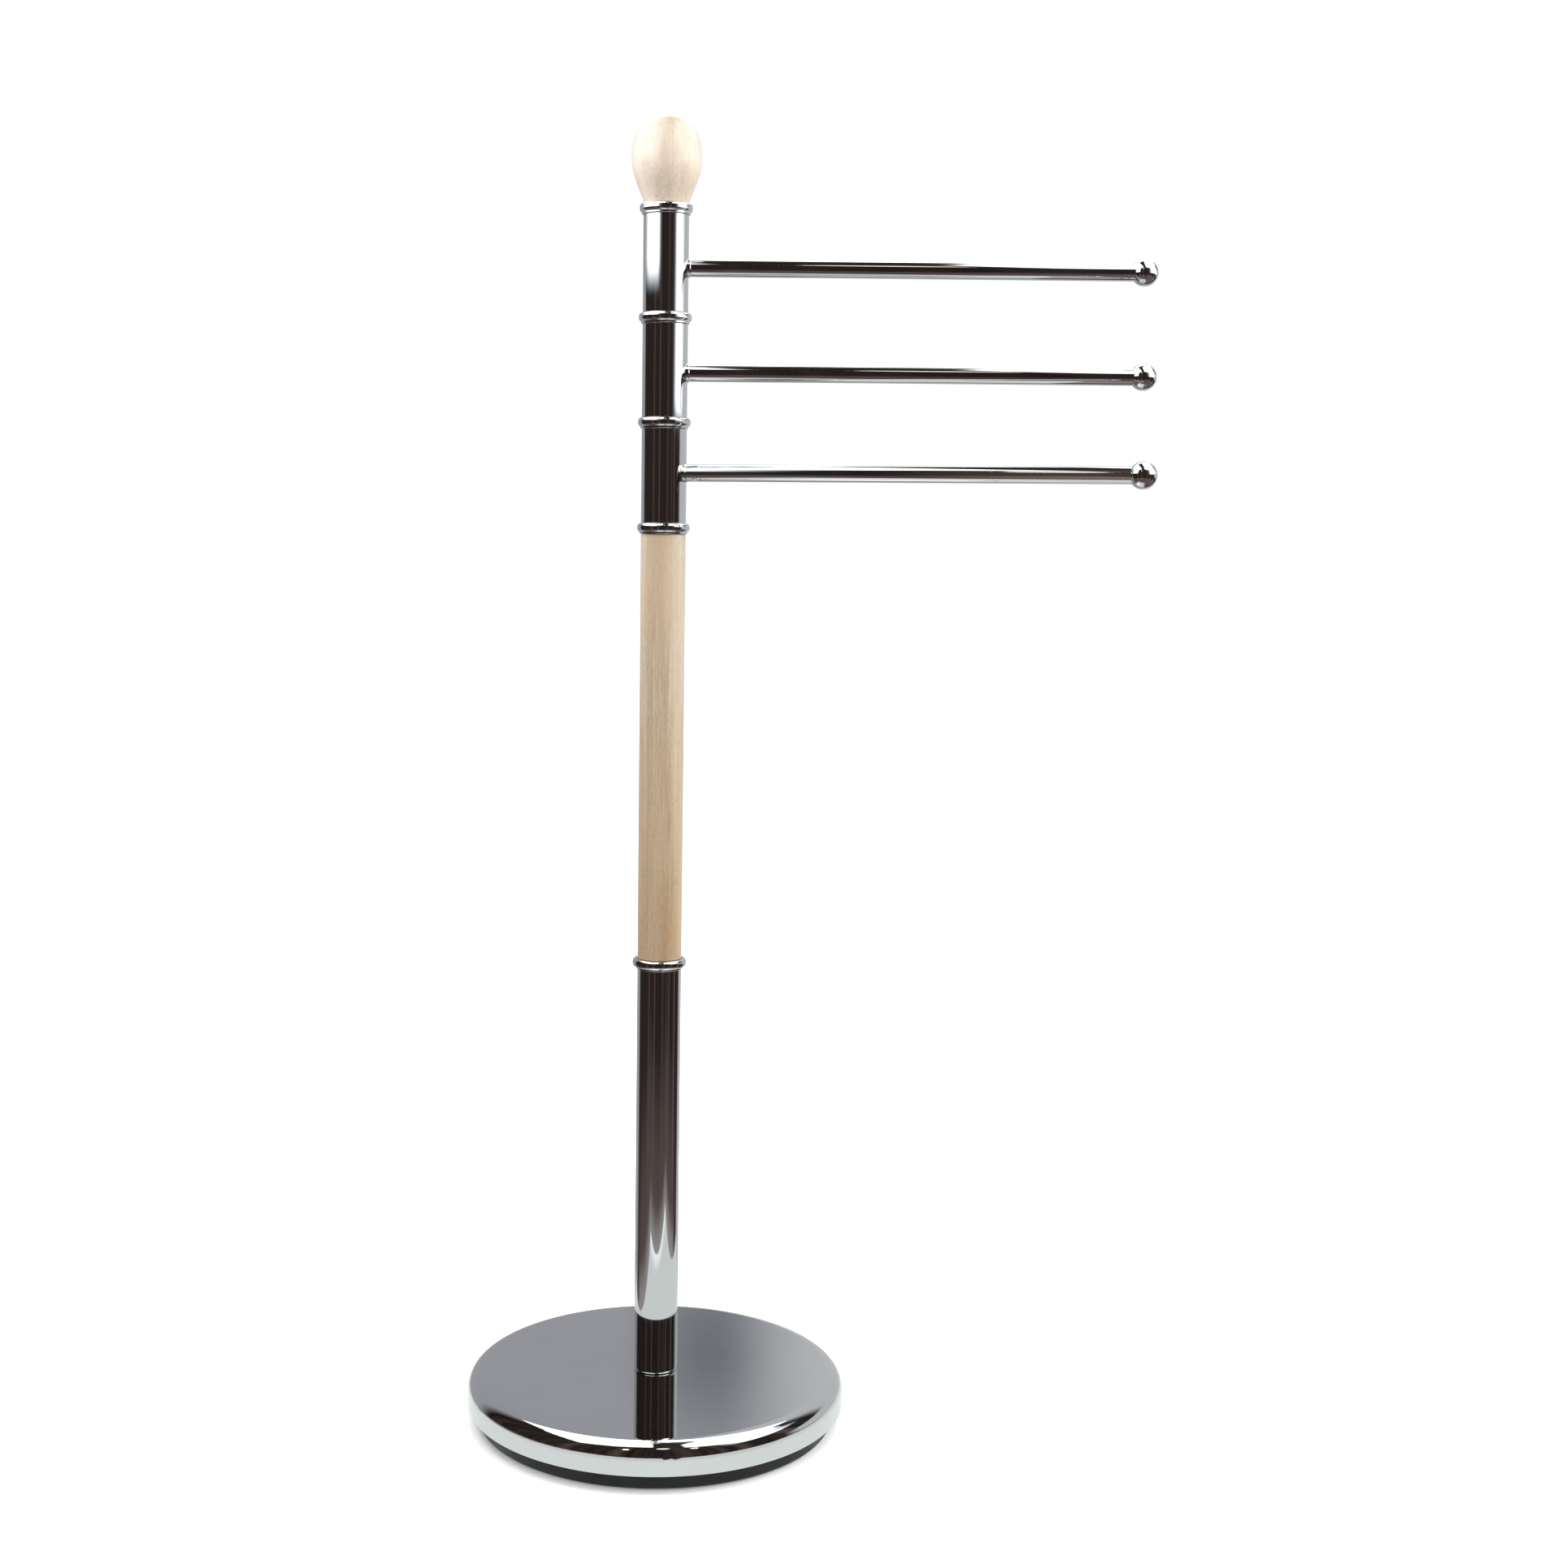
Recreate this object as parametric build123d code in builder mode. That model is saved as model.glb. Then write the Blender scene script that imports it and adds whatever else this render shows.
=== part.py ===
"""Free-standing towel and garment stand with three swivel arms.

A round weighted base carries a post of chromed tube and turned wood. A steel spindle
stands on the wood, and three arm sleeves turn on it, one above another, between
chromed collars. A wooden knob closes the top.

Units are millimetres. The origin is the middle of the face that the stand rests on,
+Z runs up the post, and the arms point along +X, turned a little towards -Y.
"""
from build123d import *
import math
import os

# ---------------------------------------------------------------- driving dimensions
# Base
base_diameter = 243.0
base_height = 32.0            # top of the cover above the floor
cover_wall = 1.2
cover_edge_radius = 10.0
cover_lower_edge = 12.0       # height of the cover's lower edge above the floor
tray_diameter = 229.0
tray_wall = 2.5
tray_foot = 1.0               # the tray's rim stands this far off the floor
tray_floor_top = 4.0
pad_diameter = 221.0
pad_thickness = 2.0
weight_diameter = 218.0
weight_thickness = 13.0
screw_circle_radius = 80.0

# Post
tube_diameter = 28.0
tube_wall = 1.0
wood_diameter = 28.0
lower_tube_top = 296.7
wood_top = 571.1
foot_roll_radius = 2.0        # the tube's foot is rolled in by this radius
plug_length = 20.0
insert_diameter = 14.0
insert_length = 24.0

# Collars. The bottom of each above the floor:
lower_arm_collar_bottom = 635.8
upper_arm_collar_bottom = 699.4
top_collar_bottom = 765.0
collar_height = 6.6
lip_height = 1.0
collar_lip_radius = 14.9
collar_lip_rounding = 0.3
bead_rounding = 2.2           # radius of the bead's upper and lower edges
bead_reach = 2.3              # the bead stands this far out from the tube
lower_bead_reach = 3.1        # on the collar between the lower tube and the wood

# Arms
arm_reach = 293.0             # post axis to the centre of the ball
rod_diameter = 10.5
rod_wall = 1.0
ball_diameter = 16.4
ball_seam = 0.9               # from the ball's centre to the groove round it
ferrule_diameter = 11.4
ferrule_length = 1.4          # sleeve's surface to the rod's end
ferrule_groove = 0.25         # width and depth of the groove round it
bush_length = 12.0

# Spindle and fasteners
spindle_diameter = 12.0
thread_diameter = 10.0        # threads are plain cylinders at their outer diameter
arm_screw_diameter = 5.0
tray_screw_diameter = 4.0

# Knob
knob_height = 52.6
knob_widest_radius = 21.8
knob_foot_radius = 13.7

# Clearances
slip = 0.05                   # radial, round pieces pushed or screwed into each other
running_clearance = 0.05      # radial, bush on spindle
sleeve_gap = 0.2              # between a sleeve's end and a collar
bush_proud = 0.1              # a bush stands this far out of its sleeve

# ---------------------------------------------------------------- derived dimensions
tube_radius = tube_diameter / 2
tube_bore = tube_radius - tube_wall
thread_radius = thread_diameter / 2
spindle_radius = spindle_diameter / 2
wood_bottom = lower_tube_top + collar_height
cover_underside = base_height - cover_wall
weight_bottom = cover_underside - weight_thickness
collar_bottoms = {
    "lower_collar": lower_tube_top,
    "post_collar": wood_top,
    "lower_arm_collar": lower_arm_collar_bottom,
    "upper_arm_collar": upper_arm_collar_bottom,
    "top_collar": top_collar_bottom,
}
knob_bottom = top_collar_bottom + collar_height

# The collars under and over each arm, how far its rod is above the middle of its sleeve,
# and the way it points at rest in degrees from +X.
arms = {
    "lower_arm": ("post_collar", "lower_arm_collar", 1.9, -17.5),
    "middle_arm": ("lower_arm_collar", "upper_arm_collar", -1.1, -3.8),
    "upper_arm": ("upper_arm_collar", "top_collar", -2.3, -2.4),
}

BOTTOM = (Align.CENTER, Align.CENTER, Align.MIN)

os.makedirs("parts", exist_ok=True)


def write(builder, label):
    """Label a finished piece and write it to its own STEP file."""
    builder.part.label = label
    export_step(builder.part, f"parts/{label}.step")


def circles(builder):
    """The piece's round edges, smallest first."""
    return builder.edges().filter_by(GeomType.CIRCLE).sort_by(SortBy.RADIUS)


# ---------------------------------------------------------------- base
with BuildPart() as base_pad:
    Cylinder(pad_diameter / 2, pad_thickness, align=BOTTOM)
    chamfer(circles(base_pad).group_by(Axis.Z)[0], 0.4)
write(base_pad, "base_pad")

# The tray is a dish with a flange that fits up inside the cover's skirt.
flange_bottom = cover_lower_edge + 0.3
flange_radius = base_diameter / 2 - cover_wall - 0.3
flange_top = flange_bottom + 6.0
boss_radius = 6.0
rib_count = 6
rib_thickness = 2.0
rib_inner_radius = 16.0
tray_inner_radius = tray_diameter / 2 - tray_wall
screw_head_radius = 4.0
screw_head_height = 2.2
screw_seat = pad_thickness + screw_head_height + 0.2

with BuildPart() as base_tray:
    with BuildSketch(Plane.XZ):
        with BuildLine():
            Polyline(
                (0, tray_foot),
                (tray_diameter / 2, tray_foot),
                (tray_diameter / 2, flange_bottom),
                (flange_radius, flange_bottom),
                (flange_radius, flange_top),
                (flange_radius - tray_wall, flange_top),
                (flange_radius - tray_wall, flange_bottom + tray_wall),
                (tray_inner_radius, flange_bottom + tray_wall),
                (tray_inner_radius, tray_floor_top),
                (0, tray_floor_top),
                close=True,
            )
        make_face()
    revolve(axis=Axis.Z)
    # Ribs carry the weight on the tray's floor.
    rib_length = tray_inner_radius - rib_inner_radius + 0.5
    rib_middle = rib_inner_radius + rib_length / 2
    with BuildSketch(Plane.XY.offset(tray_floor_top)):
        with PolarLocations(rib_middle, rib_count):
            Rectangle(rib_length, rib_thickness)
    extrude(amount=cover_lower_edge + tray_wall - tray_floor_top)
    with BuildSketch(Plane.XY.offset(tray_floor_top)):
        with PolarLocations(screw_circle_radius, rib_count):
            Circle(boss_radius)
    extrude(amount=weight_bottom - tray_floor_top)
    # Recess for the pad, then the screws' seats and holes.
    with BuildSketch(Plane.XY.offset(tray_foot)):
        Circle(pad_diameter / 2 + 0.5)
    extrude(amount=pad_thickness - tray_foot, mode=Mode.SUBTRACT)
    with BuildSketch(Plane.XY.offset(pad_thickness)):
        with PolarLocations(screw_circle_radius, 3):
            Circle(screw_head_radius + 0.3)
    extrude(amount=screw_seat - pad_thickness, mode=Mode.SUBTRACT)
    with BuildSketch(Plane.XY.offset(pad_thickness)):
        with PolarLocations(screw_circle_radius, 3):
            Circle(tray_screw_diameter / 2 + 0.2)
    extrude(amount=weight_bottom, mode=Mode.SUBTRACT)
    fillet(circles(base_tray).group_by(Axis.Z)[0][-1], 1.5)
write(base_tray, "base_tray")

with BuildPart() as tray_screws:
    screw_tip = weight_bottom + 8.0
    with BuildSketch(Plane.XY.offset(screw_seat - screw_head_height)):
        with PolarLocations(screw_circle_radius, 3):
            Circle(screw_head_radius)
    extrude(amount=screw_head_height)
    with BuildSketch(Plane.XY.offset(screw_seat)):
        with PolarLocations(screw_circle_radius, 3):
            Circle(tray_screw_diameter / 2)
    extrude(amount=screw_tip - screw_seat)
    # Cross recess in each head.
    with BuildSketch(Plane.XY.offset(screw_seat - screw_head_height)):
        with PolarLocations(screw_circle_radius, 3):
            Rectangle(4.0, 0.9)
            Rectangle(0.9, 4.0)
    extrude(amount=1.3, mode=Mode.SUBTRACT)
write(tray_screws, "tray_screws")

with BuildPart() as base_weight:
    with BuildSketch(Plane.XY.offset(weight_bottom)):
        Circle(weight_diameter / 2)
        Circle(thread_radius + 0.5, mode=Mode.SUBTRACT)
    extrude(amount=weight_thickness)
    chamfer(circles(base_weight)[-2:].sort_by(Axis.Z)[-1], 1.5)
    with BuildSketch(Plane.XY.offset(weight_bottom)):
        with PolarLocations(screw_circle_radius, 3):
            Circle(tray_screw_diameter / 2 + slip)
    extrude(amount=9.0, mode=Mode.SUBTRACT)
write(base_weight, "base_weight")

with BuildPart() as base_cover:
    with BuildSketch(Plane.XY.offset(cover_lower_edge)):
        Circle(base_diameter / 2)
    extrude(amount=base_height - cover_lower_edge)
    fillet(circles(base_cover).group_by(Axis.Z)[-1], cover_edge_radius)
    offset(amount=-cover_wall, openings=base_cover.faces().sort_by(Axis.Z)[0])
    with BuildSketch(Plane.XY.offset(base_height)):
        Circle(thread_radius + 0.3)
    extrude(amount=-2 * cover_wall, mode=Mode.SUBTRACT)
    fillet(circles(base_cover).group_by(Axis.Z)[0][-1], 0.4)
write(base_cover, "base_cover")

bolt_washer_thickness = 2.0
bolt_head_height = 6.4
bolt_head_across_flats = 17.0
foot_plug_bottom = base_height + tube_wall
bolt_tip = foot_plug_bottom + 16.0

with BuildPart() as base_washer:
    with BuildSketch(Plane.XY.offset(weight_bottom - bolt_washer_thickness)):
        Circle(12.0)
        Circle(thread_radius + 0.3, mode=Mode.SUBTRACT)
    extrude(amount=bolt_washer_thickness)
    chamfer(circles(base_washer)[-2:], 0.3)
write(base_washer, "base_washer")

with BuildPart() as base_bolt:
    bolt_seat = weight_bottom - bolt_washer_thickness
    with BuildSketch(Plane.XY.offset(bolt_seat)):
        RegularPolygon(bolt_head_across_flats / 2, 6, major_radius=False)
    extrude(amount=-bolt_head_height)
    with BuildSketch(Plane.XY.offset(bolt_seat)):
        Circle(thread_radius)
    extrude(amount=bolt_tip - bolt_seat)
    chamfer(circles(base_bolt).group_by(Axis.Z)[-1], 1.0)
write(base_bolt, "base_bolt")

# ---------------------------------------------------------------- lower tube
with BuildPart() as lower_tube:
    foot_lip_radius = tube_radius - foot_roll_radius - 1.0
    with BuildSketch(Plane.XZ):
        with BuildLine():
            Polyline(
                (foot_lip_radius, base_height),
                (tube_radius, base_height),
                (tube_radius, lower_tube_top),
                (tube_bore, lower_tube_top),
                (tube_bore, base_height + tube_wall),
                (foot_lip_radius, base_height + tube_wall),
                close=True,
            )
        make_face()
    revolve(axis=Axis.Z)
    fillet(circles(lower_tube).group_by(Axis.Z)[0][-1], foot_roll_radius)
write(lower_tube, "lower_tube")


def make_plug(label, bottom):
    """A steel plug fixed in the lower tube, threaded through."""
    with BuildPart() as plug:
        with BuildSketch(Plane.XY.offset(bottom)):
            Circle(tube_bore - slip)
            Circle(thread_radius + slip, mode=Mode.SUBTRACT)
        extrude(amount=plug_length)
        chamfer(circles(plug)[-2:], 1.2)
    write(plug, label)


make_plug("foot_plug", foot_plug_bottom)
make_plug("tube_top_plug", lower_tube_top - plug_length)

with BuildPart() as joint_stud:
    stud_length = 2 * 19.0 + collar_height
    with BuildSketch(Plane.XY.offset(lower_tube_top - 19.0)):
        Circle(thread_radius)
    extrude(amount=stud_length)
    chamfer(circles(joint_stud).group_by(Axis.Z)[0], 1.0)
    chamfer(circles(joint_stud).group_by(Axis.Z)[-1], 1.0)
write(joint_stud, "joint_stud")


# ---------------------------------------------------------------- collars
def make_collar(label, bottom, bore_radius, reach):
    """A turned collar: a short lip at the bottom and a round-edged bead above it."""
    top = bottom + collar_height
    outside = tube_radius + reach
    rounding_centre = outside - bead_rounding
    lower_centre = bottom + lip_height + bead_rounding
    upper_centre = top - bead_rounding
    at_45 = bead_rounding * math.sqrt(0.5)
    bead_start = lower_centre - math.sqrt(bead_rounding ** 2 - (collar_lip_radius - rounding_centre) ** 2)
    corner = collar_lip_rounding * (1 - math.sqrt(0.5))
    with BuildPart() as collar:
        with BuildSketch(Plane.XZ):
            with BuildLine():
                Polyline(
                    (rounding_centre, top),
                    (bore_radius, top),
                    (bore_radius, bottom),
                    (collar_lip_radius - collar_lip_rounding, bottom),
                )
                ThreePointArc(
                    (collar_lip_radius - collar_lip_rounding, bottom),
                    (collar_lip_radius - corner, bottom + corner),
                    (collar_lip_radius, bottom + collar_lip_rounding),
                )
                Line((collar_lip_radius, bottom + collar_lip_rounding), (collar_lip_radius, bead_start))
                ThreePointArc(
                    (collar_lip_radius, bead_start),
                    (rounding_centre + at_45, lower_centre - at_45),
                    (outside, lower_centre),
                )
                Line((outside, lower_centre), (outside, upper_centre))
                ThreePointArc(
                    (outside, upper_centre),
                    (rounding_centre + at_45, upper_centre + at_45),
                    (rounding_centre, top),
                )
            make_face()
        revolve(axis=Axis.Z)
    write(collar, label)


for collar_name, collar_bottom in collar_bottoms.items():
    if collar_name == "lower_collar":
        make_collar(collar_name, collar_bottom, thread_radius + slip, lower_bead_reach)
    else:
        make_collar(collar_name, collar_bottom, spindle_radius + slip, bead_reach)


# ---------------------------------------------------------------- wooden post
with BuildPart() as wood_post:
    with BuildSketch(Plane.XY.offset(wood_bottom)):
        Circle(wood_diameter / 2)
    extrude(amount=wood_top - wood_bottom)
    fillet(circles(wood_post), 0.4)
    for end, direction in ((wood_bottom, 1), (wood_top, -1)):
        with BuildSketch(Plane.XY.offset(end)):
            Circle(insert_diameter / 2 + slip)
        extrude(amount=direction * (insert_length + 0.5), mode=Mode.SUBTRACT)
write(wood_post, "wood_post")


def make_insert(label, bottom):
    """A threaded insert set into the end of a wooden piece."""
    with BuildPart() as insert:
        with BuildSketch(Plane.XY.offset(bottom)):
            Circle(insert_diameter / 2)
            Circle(thread_radius + slip, mode=Mode.SUBTRACT)
        extrude(amount=insert_length)
        chamfer(circles(insert)[-2:], 0.5)
    write(insert, label)


make_insert("wood_lower_insert", wood_bottom)
make_insert("wood_upper_insert", wood_top - insert_length)
make_insert("knob_insert", knob_bottom)

# ---------------------------------------------------------------- spindle and knob
with BuildPart() as spindle:
    thread_engagement = 21.0
    with BuildSketch(Plane.XY.offset(wood_top - thread_engagement)):
        Circle(thread_radius)
    extrude(amount=knob_bottom - wood_top + 2 * thread_engagement)
    with BuildSketch(Plane.XY.offset(wood_top)):
        Circle(spindle_radius)
    extrude(amount=knob_bottom - wood_top)
    chamfer(circles(spindle).group_by(Axis.Z)[0], 1.0)
    chamfer(circles(spindle).group_by(Axis.Z)[-1], 1.0)
write(spindle, "spindle")

with BuildPart() as knob:
    knob_top = knob_bottom + knob_height
    with BuildSketch(Plane.XZ):
        with BuildLine():
            Spline(
                (knob_foot_radius, knob_bottom),
                (0.88 * knob_widest_radius, knob_bottom + 0.27 * knob_height),
                (knob_widest_radius, knob_bottom + 0.56 * knob_height),
                (0.86 * knob_widest_radius, knob_bottom + 0.80 * knob_height),
                (0.68 * knob_widest_radius, knob_bottom + 0.91 * knob_height),
                (0, knob_top),
                tangents=((0.3, 1.0), (-1.0, 0.0)),
            )
            Polyline((0, knob_top), (0, knob_bottom), (knob_foot_radius, knob_bottom))
        make_face()
    revolve(axis=Axis.Z)
    with BuildSketch(Plane.XY.offset(knob_bottom)):
        Circle(insert_diameter / 2 + slip)
    extrude(amount=insert_length + 0.5, mode=Mode.SUBTRACT)
write(knob, "knob")


# ---------------------------------------------------------------- arms
def make_bush(label, sleeve_end, inward):
    """A moulded bush: hub on the spindle, web at the sleeve's end, skirt in the sleeve."""
    outer_face = sleeve_end - inward * bush_proud
    hub_radius = spindle_radius + running_clearance + 2.0
    skirt_radius = tube_bore - slip
    web_thickness = 2.5
    with BuildPart() as bush:
        with BuildSketch(Plane.XY.offset(outer_face)):
            Circle(skirt_radius)
            Circle(spindle_radius + running_clearance, mode=Mode.SUBTRACT)
        extrude(amount=inward * bush_length)
        with BuildSketch(Plane.XY.offset(outer_face + inward * web_thickness)):
            Circle(skirt_radius - 1.8)
            Circle(hub_radius, mode=Mode.SUBTRACT)
        extrude(amount=inward * bush_length, mode=Mode.SUBTRACT)
    write(bush, label)


def make_arm(name, collar_below, collar_above, rod_rise, azimuth):
    """All the pieces of one swivel arm."""
    sleeve_bottom = collar_bottoms[collar_below] + collar_height + sleeve_gap
    sleeve_top = collar_bottoms[collar_above] - sleeve_gap
    sleeve_length = sleeve_top - sleeve_bottom
    rod_height = (sleeve_bottom + sleeve_top) / 2 + rod_rise

    # The arm's own planes: across the rod, and along it with the post axis at x = 0.
    angle = math.radians(azimuth)
    outward = Vector(math.cos(angle), math.sin(angle), 0)
    sideways = Vector(math.sin(angle), -math.cos(angle), 0)
    rod_origin = Vector(0, 0, rod_height)
    across_rod = Plane(origin=rod_origin, x_dir=sideways, z_dir=outward)
    along_rod = Plane(origin=rod_origin, x_dir=outward, z_dir=sideways)
    rod_axis = Axis(rod_origin, outward)

    screw_hole_radius = arm_screw_diameter / 2 + slip
    rod_radius = rod_diameter / 2
    rod_start = tube_radius + ferrule_length
    ball_radius = ball_diameter / 2
    ball_seat = arm_reach - math.sqrt(ball_radius ** 2 - rod_radius ** 2)
    spigot_radius = rod_radius - rod_wall - slip
    spigot_length = 10.0

    with BuildPart() as sleeve:
        with BuildSketch(Plane.XY.offset(sleeve_bottom)):
            Circle(tube_radius)
            Circle(tube_bore, mode=Mode.SUBTRACT)
        extrude(amount=sleeve_length)
        fillet(circles(sleeve)[-2:], 0.15)
        with BuildSketch(across_rod):
            Circle(screw_hole_radius)
        extrude(amount=tube_diameter, mode=Mode.SUBTRACT)
    write(sleeve, f"{name}_sleeve")

    make_bush(f"{name}_lower_bush", sleeve_bottom, 1)
    make_bush(f"{name}_upper_bush", sleeve_top, -1)

    # The ferrule's foot is saddle-shaped to sit on the sleeve. A groove parts it into
    # two rings, the outer one is rounded down to the rod, and a spigot goes into the rod.
    ferrule_radius = ferrule_diameter / 2
    groove_start = rod_start - ferrule_length / 2 - ferrule_groove / 2
    groove_end = groove_start + ferrule_groove
    groove_radius = ferrule_radius - ferrule_groove
    rounding = ferrule_radius - rod_radius
    with BuildPart() as ferrule:
        with BuildSketch(along_rod):
            with BuildLine():
                Polyline(
                    (tube_radius - 2.0, screw_hole_radius),
                    (tube_radius - 2.0, ferrule_radius),
                    (groove_start, ferrule_radius),
                    (groove_start, groove_radius),
                    (groove_end, groove_radius),
                    (groove_end, ferrule_radius),
                    (rod_start - rounding, ferrule_radius),
                    (rod_start, rod_radius),
                    (rod_start, spigot_radius),
                    (rod_start + spigot_length, spigot_radius),
                    (rod_start + spigot_length, screw_hole_radius),
                    close=True,
                )
            make_face()
        revolve(axis=rod_axis)
        with BuildSketch(Plane.XY.offset(sleeve_bottom)):
            Circle(tube_radius)
        extrude(amount=sleeve_length, mode=Mode.SUBTRACT)
    write(ferrule, f"{name}_ferrule")

    with BuildPart() as rod:
        with BuildSketch(across_rod.offset(rod_start)):
            Circle(rod_radius)
            Circle(rod_radius - rod_wall, mode=Mode.SUBTRACT)
        extrude(amount=ball_seat - rod_start)
    write(rod, f"{name}_rod")

    # The ball has a flat that seats on the rod's end, a spigot and a fine groove
    # round its middle.
    with BuildPart() as ball_tip:
        with BuildSketch(along_rod):
            with BuildLine():
                Polyline(
                    (arm_reach + ball_radius, 0),
                    (ball_seat - spigot_length, 0),
                    (ball_seat - spigot_length, spigot_radius),
                    (ball_seat, spigot_radius),
                    (ball_seat, rod_radius),
                )
                ThreePointArc(
                    (ball_seat, rod_radius),
                    (arm_reach, ball_radius),
                    (arm_reach + ball_radius, 0),
                )
            make_face()
        revolve(axis=rod_axis)
        with BuildSketch(across_rod.offset(arm_reach + ball_seam - 0.2)):
            Circle(ball_diameter)
            Circle(ball_radius - 0.3, mode=Mode.SUBTRACT)
        extrude(amount=0.4, mode=Mode.SUBTRACT)
    write(ball_tip, f"{name}_ball_tip")

    # Screw and saddle washer inside the sleeve.
    washer_flat = tube_bore - 1.8
    head_height = 2.6
    head_radius = 4.2
    with BuildPart() as saddle_washer:
        with BuildSketch(across_rod.offset(washer_flat)):
            Circle(head_radius + 0.3)
            Circle(screw_hole_radius, mode=Mode.SUBTRACT)
        extrude(amount=tube_wall + 1.0)
        with BuildSketch(Plane.XY.offset(sleeve_bottom)):
            Circle(tube_radius + 5.0)
            Circle(tube_bore - slip, mode=Mode.SUBTRACT)
        extrude(amount=sleeve_length, mode=Mode.SUBTRACT)
    write(saddle_washer, f"{name}_saddle_washer")

    with BuildPart() as fixing_screw:
        with BuildSketch(across_rod.offset(washer_flat - head_height)):
            Circle(head_radius)
        extrude(amount=head_height)
        fillet(circles(fixing_screw).sort_by(rod_axis)[0], 1.2)
        with BuildSketch(across_rod.offset(washer_flat)):
            Circle(arm_screw_diameter / 2)
        extrude(amount=rod_start + spigot_length - 2.0 - washer_flat)
        with BuildSketch(across_rod.offset(washer_flat - head_height)):
            Rectangle(4.4, 1.0)
            Rectangle(1.0, 4.4)
        extrude(amount=1.4, mode=Mode.SUBTRACT)
    write(fixing_screw, f"{name}_fixing_screw")


for arm_name, arm_setting in arms.items():
    make_arm(arm_name, *arm_setting)
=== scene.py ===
"""Looks of a free-standing towel stand: chromed tubes, arms and base, a pale wooden post and knob.

Everything is in metres in the frame's own axes: +Z is up, the post stands on the Z axis, the arms
point towards +X and the camera is on the -Y side. The CAD pieces keep their shapes and only get
their finishes here. The rest is the floor, the lights, the camera, and the surroundings that the
chrome mirrors.
"""

import math

import bpy
from mathutils import Matrix, Vector

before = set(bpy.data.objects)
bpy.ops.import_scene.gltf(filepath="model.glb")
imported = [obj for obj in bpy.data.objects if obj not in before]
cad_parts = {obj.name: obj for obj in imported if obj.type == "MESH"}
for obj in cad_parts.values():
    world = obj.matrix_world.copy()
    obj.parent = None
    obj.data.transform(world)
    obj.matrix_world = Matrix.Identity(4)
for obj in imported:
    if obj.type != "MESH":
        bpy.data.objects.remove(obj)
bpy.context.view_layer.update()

# Camera
CAMERA_PLACE = Vector((0.0, -1.3644, 0.5753))
CAMERA_PITCH = 6.71        # degrees below the horizon
CAMERA_YAW = 1.41          # degrees towards +X
CAMERA_ROLL = 0.71         # degrees
CAMERA_LENS = 50.0         # millimetres
CAMERA_SHIFT = 0.0445      # part of the picture's width
CAMERA_FAR_END = 50.0

# Floor, which the camera sees and the chrome doesn't
FLOOR_SIZE = 24.0
FLOOR_GLOW = (0.28, 1.15)    # near the stand, and far away
FLOOR_GLOW_AT = (0.25, 0.6)  # the distances from the post between which it changes

# What the chrome mirrors
TABLE_LOW = Vector((-0.209, -0.343))  # the near left corner of the table top
TABLE_HIGH = Vector((0.324, 0.212))   # its far right corner
FLOOR_REACH = 0.75         # how far past the table the floor under it shows in the chrome
FLOOR_BACK = 0.1           # where that floor ends behind the post
FLOOR_DROP = 0.001         # how far it lies under the table top
ROOM_RADIUS = 6.0
CEILING = 1.35             # height of the lit screens overhead
LAMP_DISTANCE = 3.0
PANEL_FADE = 0.034         # height over which the foot of a wall screen fades
PANEL_RADIANCE = 2.8       # of the lit screens
WHITE = (1.0, 1.0, 1.0)

# Pale hangings in the dark part of the room: azimuth and half-width in degrees, and how much of
# the room's own brightness they add. Azimuths go round the post: 0 faces the camera, 90 is +X.
HANGINGS = (
    (-53.0, 7.0, 1.9),
    (-23.0, 7.0, 1.5),
    (20.0, 8.0, 1.1),
    (40.0, 4.0, 1.4),
    (54.0, 8.0, 1.8),
    (88.0, 9.0, 2.8),
)

# Lights that show in no reflection, and the sky
LIGHT_RADIANCE = 5.0
SKY_FOR_CAMERA = 1.05
SKY_FOR_SHADING = 0.30

NOISE_RANGE = (0.3, 0.7)   # nearly all of a noise's values lie between these


def heading(azimuth):
    """Unit vector from the post at an azimuth in degrees: 0 towards the camera, 90 towards +X."""
    angle = math.radians(azimuth)
    return Vector((math.sin(angle), -math.cos(angle), 0.0))


# ---------------------------------------------------------------- node helpers


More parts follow.
